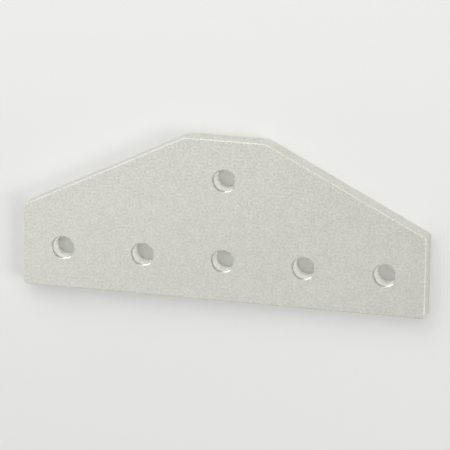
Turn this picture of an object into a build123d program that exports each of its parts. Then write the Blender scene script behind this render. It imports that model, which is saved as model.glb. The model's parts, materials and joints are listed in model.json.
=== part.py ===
from build123d import *
import os

# A flat joining plate for slotted aluminium profile: it bolts a post square to a rail.
# One piece, cut from flat aluminium stock. All lengths are in millimetres.
#
# The plate lies on its mating face. z = 0 is the face that sits on the profiles, and the
# screw heads bear on the upper face. X runs along the row of holes over the rail, and +Y
# runs up the post. The origin is on the axis of the row's middle hole.

HOLE_PITCH = 25.4  # from hole to hole, the width of one profile
ROW_HOLES = 5  # holes along the rail
POST_HOLES = 1  # holes up the post, above the row's middle hole
EDGE_MARGIN = 12.7  # from the axis of an outer hole to the plate's edge
THICKNESS = 6.35
HOLE_DIAMETER = 6.53  # clearance for a quarter-inch screw
HOLE_CHAMFER = 0.5  # deburring chamfer of each hole, on both faces
CORNER_RADIUS = 1.0  # corners of the outline, seen from above
EDGE_RADIUS = 0.4  # tumbled round along the edge of each face

row_half = (ROW_HOLES - 1) / 2 * HOLE_PITCH
post_reach = POST_HOLES * HOLE_PITCH


def hole_centres():
    row = [(i * HOLE_PITCH - row_half, 0) for i in range(ROW_HOLES)]
    post = [(0, (i + 1) * HOLE_PITCH) for i in range(POST_HOLES)]
    return row + post


def outline():
    """A square of metal round each outer hole, joined by two straight sloping sides."""
    end_x = row_half + EDGE_MARGIN
    top_y = post_reach + EDGE_MARGIN
    right_side = [(EDGE_MARGIN, top_y), (end_x, EDGE_MARGIN), (end_x, -EDGE_MARGIN)]
    left_side = [(-x, y) for x, y in reversed(right_side)]
    with BuildSketch() as sketch:
        with BuildLine():
            Polyline(*right_side, *left_side, close=True)
        make_face()
        fillet(sketch.vertices(), CORNER_RADIUS)
    return sketch.sketch


def joining_plate():
    with BuildPart() as plate:
        add(outline())
        extrude(amount=THICKNESS)
        faces_up_and_down = plate.faces().filter_by(Axis.Z)
        fillet(faces_up_and_down.edges(), EDGE_RADIUS)
        with Locations(*hole_centres()):
            Cylinder(
                HOLE_DIAMETER / 2,
                THICKNESS,
                align=(Align.CENTER, Align.CENTER, Align.MIN),
                mode=Mode.SUBTRACT,
            )
        hole_rims = plate.edges().filter_by(GeomType.CIRCLE).filter_by(
            lambda rim: rim.is_closed and abs(rim.radius - HOLE_DIAMETER / 2) < 1e-6
        )
        chamfer(hole_rims, HOLE_CHAMFER)
    return plate.part


os.makedirs("parts", exist_ok=True)
export_step(joining_plate(), "parts/joining_plate.step")
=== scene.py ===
import json
import math

import bpy
from mathutils import Matrix, Vector


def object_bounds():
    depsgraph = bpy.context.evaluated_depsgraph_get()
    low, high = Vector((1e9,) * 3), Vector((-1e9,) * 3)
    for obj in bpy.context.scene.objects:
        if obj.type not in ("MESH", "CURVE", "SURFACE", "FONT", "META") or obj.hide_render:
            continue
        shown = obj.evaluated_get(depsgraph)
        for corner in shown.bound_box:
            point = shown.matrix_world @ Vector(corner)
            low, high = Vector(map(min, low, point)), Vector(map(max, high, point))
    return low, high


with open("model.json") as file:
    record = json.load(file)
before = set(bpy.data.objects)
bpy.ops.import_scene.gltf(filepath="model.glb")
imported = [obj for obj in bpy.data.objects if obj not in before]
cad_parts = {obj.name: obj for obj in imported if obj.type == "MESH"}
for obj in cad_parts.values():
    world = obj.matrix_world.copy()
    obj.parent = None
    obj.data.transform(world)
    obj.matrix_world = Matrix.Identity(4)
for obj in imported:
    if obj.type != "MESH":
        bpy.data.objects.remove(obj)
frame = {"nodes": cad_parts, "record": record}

# The looks of a flat joining plate that lies on a pale floor. Lengths are in metres, in the
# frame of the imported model: the plate's upper face is level, +X runs along the row of holes
# and +Y towards the single hole.

MM = 0.001
cad_low, cad_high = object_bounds()
plate = frame["nodes"]["joining_plate"]
holes = [mount for mount in frame["record"]["mounts"] if mount["kind"] == "bore"]
face_middle = Vector(((cad_low.x + cad_high.x) / 2, (cad_low.y + cad_high.y) / 2, cad_high.z))

# Camera, turned away from the normal of the plate's upper face.
VIEW_TURN = math.radians(14.31)  # towards +X
VIEW_TILT = math.radians(15.43)  # towards +Y
VIEW_ROLL = math.radians(1.04)
VIEW_DISTANCE = 1524.0 * MM
VIEW_WIDTH = 137.33 * MM  # width of the picture at the plate
VIEW_RIGHT = 0.51 * MM  # from the middle of the upper face to the point that the camera aims at
VIEW_UP = -1.13 * MM
VIEW_REACH = 50.0  # nothing farther away than this is seen
SENSOR_WIDTH = 36.0  # in millimetres, as Blender wants it

# Light and floor.
SKY_RADIANCE = 0.345
HORIZON_RADIANCE = 0.95
HORIZON_LOW, HORIZON_HIGH = 0.04, 0.10  # sines of the elevations between which it turns to sky
FLOOR_SIZE = 12.0
FLOOR_COLOUR = (0.80, 0.80, 0.79)
FLOOR_GLOW = (0.55, 0.55, 0.55)  # keeps the floor pale where the lamps no longer reach it
GLOW_START = 100.0 * MM  # from the origin
GLOW_FULL = 600.0 * MM
FLOOR_GAP = 0.02 * MM  # between the plate and the floor, so that their faces don't share a plane
CONTACT_REACH = 0.05 * MM  # light that leaves the underside and ends within this passes the floor
# name, direction from the plate, distance, width, height and radiance of each soft lamp
PANELS = (
    ("overhead", (-0.54, 0.58, 1.00), 0.40, 0.52, 0.52, 0.93),
    ("front", (-0.50, -0.60, 0.80), 0.60, 0.45, 0.45, 0.575),
    ("glint", (-0.65, 0.73, 0.13), 0.70, 0.64, 0.13, 2.05),
    ("left", (-0.88, -0.42, 0.14), 0.70, 0.25, 0.10, 3.2),
    ("back", (-0.08, 0.80, 0.58), 0.70, 0.27, 0.27, 2.5),
    ("corner", (0.50, 0.50, 0.70), 0.70, 0.30, 0.30, 1.85),
    ("right", (0.75, -0.10, 0.66), 0.70, 0.35, 0.35, 4.1),
)

# Finish: clear anodised aluminium, blasted to a fine grain. A bore is the wall of a hole, a
# chamfer is its bevelled rim, a rounded edge is the round along the outline, and an edge is the
# cut side below it.
METAL_COLOUR = (0.717, 0.717, 0.658)
LIGHTER_COLOUR = (0.98, 0.98, 0.94)  # the painted highlight and painted light mix the metal colour towards this
ROUND_HIGHLIGHT_SHARE = 0.16  # of the lighter colour on rounded edges, a painted highlight; the next two paint light on bores and edges
BORE_LIGHT_SHARE = 0.96
EDGE_LIGHT_SHARE = 0.08
METALLIC = 0.75
BORE_METALLIC = 0.0
FACE_ROUGHNESS = 0.50
CHAMFER_ROUGHNESS = 0.20
ROUND_ROUGHNESS = 0.60
BORE_ROUGHNESS = 0.42
FACE_LEVEL = (0.99, 0.90)  # upright part of the normal, from a face to a broken edge
WALL_LEVEL = (0.35, 0.15)  # and from a broken edge to an upright wall
GRAIN_SIZE = 0.70 * MM
GRAIN_CONTRAST = (0.52, 0.64)  # along the row of holes and round the single hole
GRAIN_TURN = (6.0 * MM, 24.0 * MM)  # between these distances from the row it changes
GRAIN_DEPTH = 0.020 * MM
MOTTLE_SIZE = 2.4 * MM
MOTTLE_CONTRAST = 0.13
MOTTLE_ROUGHNESS = 0.12
CLOUD_SIZE = 24.0 * MM
CLOUD_CONTRAST = 0.05
RING_SIZE = 0.30 * MM  # of the tool marks round a bore
RING_SQUEEZE = (0.1, 0.1, 1.0)  # makes them longer than wide
RING_DEPTH = 0.010 * MM
RIM_REACH = 0.80 * MM  # beyond a bore's wall its chamfer ends within this
RIM_CREST = 0.34 * MM  # beyond a bore's wall the rounding of its chamfer is at its highest
RIM_ROUNDING = 0.24 / MM  # fall of that rounding, for the square of the distance from its crest


class Nodes:
    """Short calls for building a node tree."""

    def __init__(self, tree):
        self.tree = tree
        tree.nodes.clear()

    def add(self, kind, **settings):
        node = self.tree.nodes.new(kind)
        for name, value in settings.items():
            setattr(node, name, value)
        return node

    def put(self, socket, value):
        if isinstance(value, bpy.types.NodeSocket):
            self.tree.links.new(value, socket)
        else:
            socket.default_value = value

    def math(self, operation, *values):
        node = self.add("ShaderNodeMath", operation=operation)
        for socket, value in zip(node.inputs, values):
            self.put(socket, value)
        return node.outputs[0]

    def vector(self, operation, *values):
        node = self.add("ShaderNodeVectorMath", operation=operation)
        for socket, value in zip(node.inputs, values):
            self.put(socket, value)
        return node.outputs["Value" if operation == "LENGTH" else "Vector"]

    def noise(self, place, size, detail=2.0, roughness=0.5):
        """Noise about 0 with grains about size metres across."""
        node = self.add("ShaderNodeTexNoise")
        self.put(node.inputs["Vector"], place)
        self.put(node.inputs["Scale"], 1.0 / size)
        self.put(node.inputs["Detail"], detail)
        self.put(node.inputs["Roughness"], roughness)
        return self.math("SUBTRACT", node.outputs["Fac"], 0.5)

    def ramp(self, value, low, high, out_low=0.0, out_high=1.0):
        """Turns smoothly from out_low to out_high as the value goes from low to high."""
        node = self.add("ShaderNodeMapRange", interpolation_type="SMOOTHSTEP")
        settings = (value, low, high, out_low, out_high)
        for socket, setting in zip(node.inputs, settings):
            self.put(socket, setting)
        return node.outputs["Result"]

    def parts(self, vector):
        """The X, Y and Z of a vector."""
        node = self.add("ShaderNodeSeparateXYZ")
        self.put(node.inputs[0], vector)
        return node.outputs


def distance_to_hole(n, place):
    """Distance from the axis of the nearest hole."""
    flat = n.vector("MULTIPLY", place, (1.0, 1.0, 0.0))
    nearest = None
    for mount in holes:
        x, y, _ = mount["pos_m"]
        distance = n.vector("LENGTH", n.vector("SUBTRACT", flat, (x, y, 0.0)))
        nearest = distance if nearest is None else n.math("MINIMUM", nearest, distance)
    return nearest


def anodised_aluminium():
    material = bpy.data.materials.new("anodised_aluminium")
    material.use_nodes = True
    n = Nodes(material.node_tree)
    place = n.add("ShaderNodeTexCoord").outputs["Object"]
    normal = n.add("ShaderNodeNewGeometry").outputs["Normal"]
    level = n.math("ABSOLUTE", n.parts(normal)["Z"])

    # What kind of surface a point is on, each from 0 to 1.
    hole_radius = holes[0]["dims"]["r_mm"] * MM
    radial = distance_to_hole(n, place)
    in_hole = n.math("LESS_THAN", radial, hole_radius + RIM_REACH)
    wall = n.ramp(level, *WALL_LEVEL)
    broken = n.math("MULTIPLY", n.ramp(level, *FACE_LEVEL), n.math("SUBTRACT", 1.0, wall))
    bore = n.math("MULTIPLY", in_hole, wall)
    chamfer = n.math("MULTIPLY", in_hole, broken)
    rounded_edge = n.math("SUBTRACT", broken, chamfer)
    edge = n.math("SUBTRACT", wall, bore)

    grain = n.noise(place, GRAIN_SIZE, detail=3.0, roughness=0.6)
    mottle = n.noise(place, MOTTLE_SIZE)
    cloud = n.noise(place, CLOUD_SIZE)
    contrast = n.ramp(n.parts(place)["Y"], *GRAIN_TURN, *GRAIN_CONTRAST)
    tone = n.math("MULTIPLY_ADD", grain, contrast, 1.0)
    tone = n.math("MULTIPLY_ADD", mottle, MOTTLE_CONTRAST, tone)
    tone = n.math("MULTIPLY_ADD", cloud, CLOUD_CONTRAST, tone)
    # Painted highlight on the rounded edges and painted light on the cut sides and bore walls, as
    # shares of the lighter colour.
    light_share = n.math("MULTIPLY", rounded_edge, ROUND_HIGHLIGHT_SHARE)
    # Painted light: the cut sides are made lighter.
    light_share = n.math("MULTIPLY_ADD", edge, EDGE_LIGHT_SHARE, light_share)
    # Painted light: the bore walls are made nearly white.
    light_share = n.math("MULTIPLY_ADD", bore, BORE_LIGHT_SHARE, light_share)
    lightened = n.add("ShaderNodeMix", data_type="RGBA")
    n.put(lightened.inputs["Factor"], light_share)
    lightened.inputs[6].default_value = (*METAL_COLOUR, 1.0)  # 6, 7 and output 2 are the colours
    lightened.inputs[7].default_value = (*LIGHTER_COLOUR, 1.0)
    colour = n.add("ShaderNodeVectorMath", operation="SCALE")
    n.put(colour.inputs[0], lightened.outputs[2])
    n.put(colour.inputs["Scale"], tone)

    roughness = n.ramp(chamfer, 0.0, 1.0, FACE_ROUGHNESS, CHAMFER_ROUGHNESS)
    roughness = n.math("MULTIPLY_ADD", rounded_edge, ROUND_ROUGHNESS - FACE_ROUGHNESS, roughness)
    roughness = n.math("MULTIPLY_ADD", bore, BORE_ROUGHNESS - FACE_ROUGHNESS, roughness)
    roughness = n.math("MULTIPLY_ADD", mottle, MOTTLE_ROUGHNESS, roughness)

    # Height of the surface in metres: blasted grain, tool marks in the bores, rounded chamfers.
    around = n.vector("MULTIPLY", place, RING_SQUEEZE)
    rings = n.math("MULTIPLY", n.noise(around, RING_SIZE, detail=3.0), bore)
    relief = n.math("MULTIPLY", grain, GRAIN_DEPTH)
    relief = n.math("MULTIPLY_ADD", rings, RING_DEPTH, relief)
    across = n.math("SUBTRACT", radial, hole_radius + RIM_CREST)
    fall = n.math("MULTIPLY", n.math("MULTIPLY", across, across), RIM_ROUNDING)
    relief = n.math("SUBTRACT", relief, n.math("MULTIPLY", fall, chamfer))
    bump = n.add("ShaderNodeBump")
    bump.inputs["Strength"].default_value = 1.0
    bump.inputs["Distance"].default_value = 1.0
    n.put(bump.inputs["Height"], relief)

    shader = n.add("ShaderNodeBsdfPrincipled")
    n.put(shader.inputs["Base Color"], colour.outputs[0])
    n.put(shader.inputs["Metallic"], n.ramp(bore, 0.0, 1.0, METALLIC, BORE_METALLIC))
    n.put(shader.inputs["Roughness"], roughness)
    n.put(shader.inputs["Normal"], bump.outputs[0])
    out = n.add("ShaderNodeOutputMaterial")
    n.put(out.inputs["Surface"], shader.outputs[0])
    return material


def seen_directly(n):
    """1 for what the camera sees, straight or in a glossy or clear surface, and else 0."""
    path = n.add("ShaderNodeLightPath").outputs
    mirrored = n.math("MAXIMUM", path["Is Glossy Ray"], path["Is Transmission Ray"])
    return n.math("MAXIMUM", path["Is Camera Ray"], mirrored)


def pale_floor():
    """Pale and matt from above. It is clear from below, where it shows the plate's underside."""
    material = bpy.data.materials.new("pale_floor")
    material.use_nodes = True
    n = Nodes(material.node_tree)
    matt = n.add("ShaderNodeBsdfDiffuse")
    matt.inputs["Color"].default_value = (*FLOOR_COLOUR, 1.0)
    distance = n.vector("LENGTH", n.add("ShaderNodeTexCoord").outputs["Object"])
    far = n.ramp(distance, GLOW_START, GLOW_FULL)
    glow = n.add("ShaderNodeEmission")
    glow.inputs["Color"].default_value = (*FLOOR_GLOW, 1.0)
    n.put(glow.inputs["Strength"], n.math("MULTIPLY", far, seen_directly(n)))
    upper = n.add("ShaderNodeAddShader")
    n.put(upper.inputs[0], matt.outputs[0])
    n.put(upper.inputs[1], glow.outputs[0])
    ray_length = n.add("ShaderNodeLightPath").outputs["Ray Length"]
    from_plate = n.math("LESS_THAN", ray_length, CONTACT_REACH)
    from_below = n.add("ShaderNodeNewGeometry").outputs["Backfacing"]
    both = n.add("ShaderNodeMixShader")
    n.put(both.inputs["Fac"], n.math("MAXIMUM", from_plate, from_below))
    n.put(both.inputs[1], upper.outputs[0])
    n.put(both.inputs[2], n.add("ShaderNodeBsdfTransparent").outputs[0])
    out = n.add("ShaderNodeOutputMaterial")
    n.put(out.inputs["Surface"], both.outputs[0])
    return material


def make_floor():
    place = (0.0, 0.0, cad_low.z - FLOOR_GAP)
    bpy.ops.mesh.primitive_plane_add(size=FLOOR_SIZE, location=place)
    floor = bpy.context.object
    floor.name = "floor"
    floor.data.materials.append(pale_floor())


def make_panel(name, direction, distance, width, height, radiance):
    """A soft lamp that shows the given radiance to whatever looks into it."""
    data = bpy.data.lights.new(name, "AREA")
    data.shape = "RECTANGLE"
    data.size = width
    data.size_y = height
    data.energy = radiance * math.pi * width * height
    lamp = bpy.data.objects.new(name, data)
    bpy.context.collection.objects.link(lamp)
    away = Vector(direction).normalized()
    lamp.location = face_middle + away * distance
    lamp.rotation_euler = away.to_track_quat("Z", "Y").to_euler()
    lamp.visible_camera = False


def make_world():
    """Even soft light from above, which pales towards the horizon."""
    world = bpy.data.worlds.new("studio")
    world.use_nodes = True
    n = Nodes(world.node_tree)
    height = n.parts(n.add("ShaderNodeTexCoord").outputs["Generated"])["Z"]
    strength = n.ramp(height, HORIZON_LOW, HORIZON_HIGH, HORIZON_RADIANCE, SKY_RADIANCE)
    light = n.add("ShaderNodeBackground")
    n.put(light.inputs["Strength"], strength)
    light.inputs["Color"].default_value = (1.0, 1.0, 1.0, 1.0)
    out = n.add("ShaderNodeOutputWorld")
    n.put(out.inputs["Surface"], light.outputs[0])
    bpy.context.scene.world = world


def make_camera():
    data = bpy.data.cameras.new("camera")
    data.sensor_width = SENSOR_WIDTH
    data.lens = SENSOR_WIDTH * VIEW_DISTANCE / VIEW_WIDTH
    data.clip_end = VIEW_REACH
    camera = bpy.data.objects.new("camera", data)
    bpy.context.collection.objects.link(camera)
    back = Vector((
        math.sin(VIEW_TURN) * math.cos(VIEW_TILT),
        math.sin(VIEW_TILT),
        math.cos(VIEW_TURN) * math.cos(VIEW_TILT),
    ))
    level_right = Vector((0.0, 1.0, 0.0)).cross(back).normalized()
    right = Matrix.Rotation(VIEW_ROLL, 3, back) @ level_right
    up = back.cross(right)
    aim = face_middle + right * VIEW_RIGHT + up * VIEW_UP
    turn = Matrix((right, up, back)).transposed()
    camera.matrix_world = Matrix.Translation(aim + back * VIEW_DISTANCE) @ turn.to_4x4()
    bpy.context.scene.camera = camera


plate.material_slots[0].material = anodised_aluminium()
make_floor()
make_world()
for panel in PANELS:
    make_panel(*panel)
make_camera()
bpy.context.scene.view_settings.view_transform = "Standard"
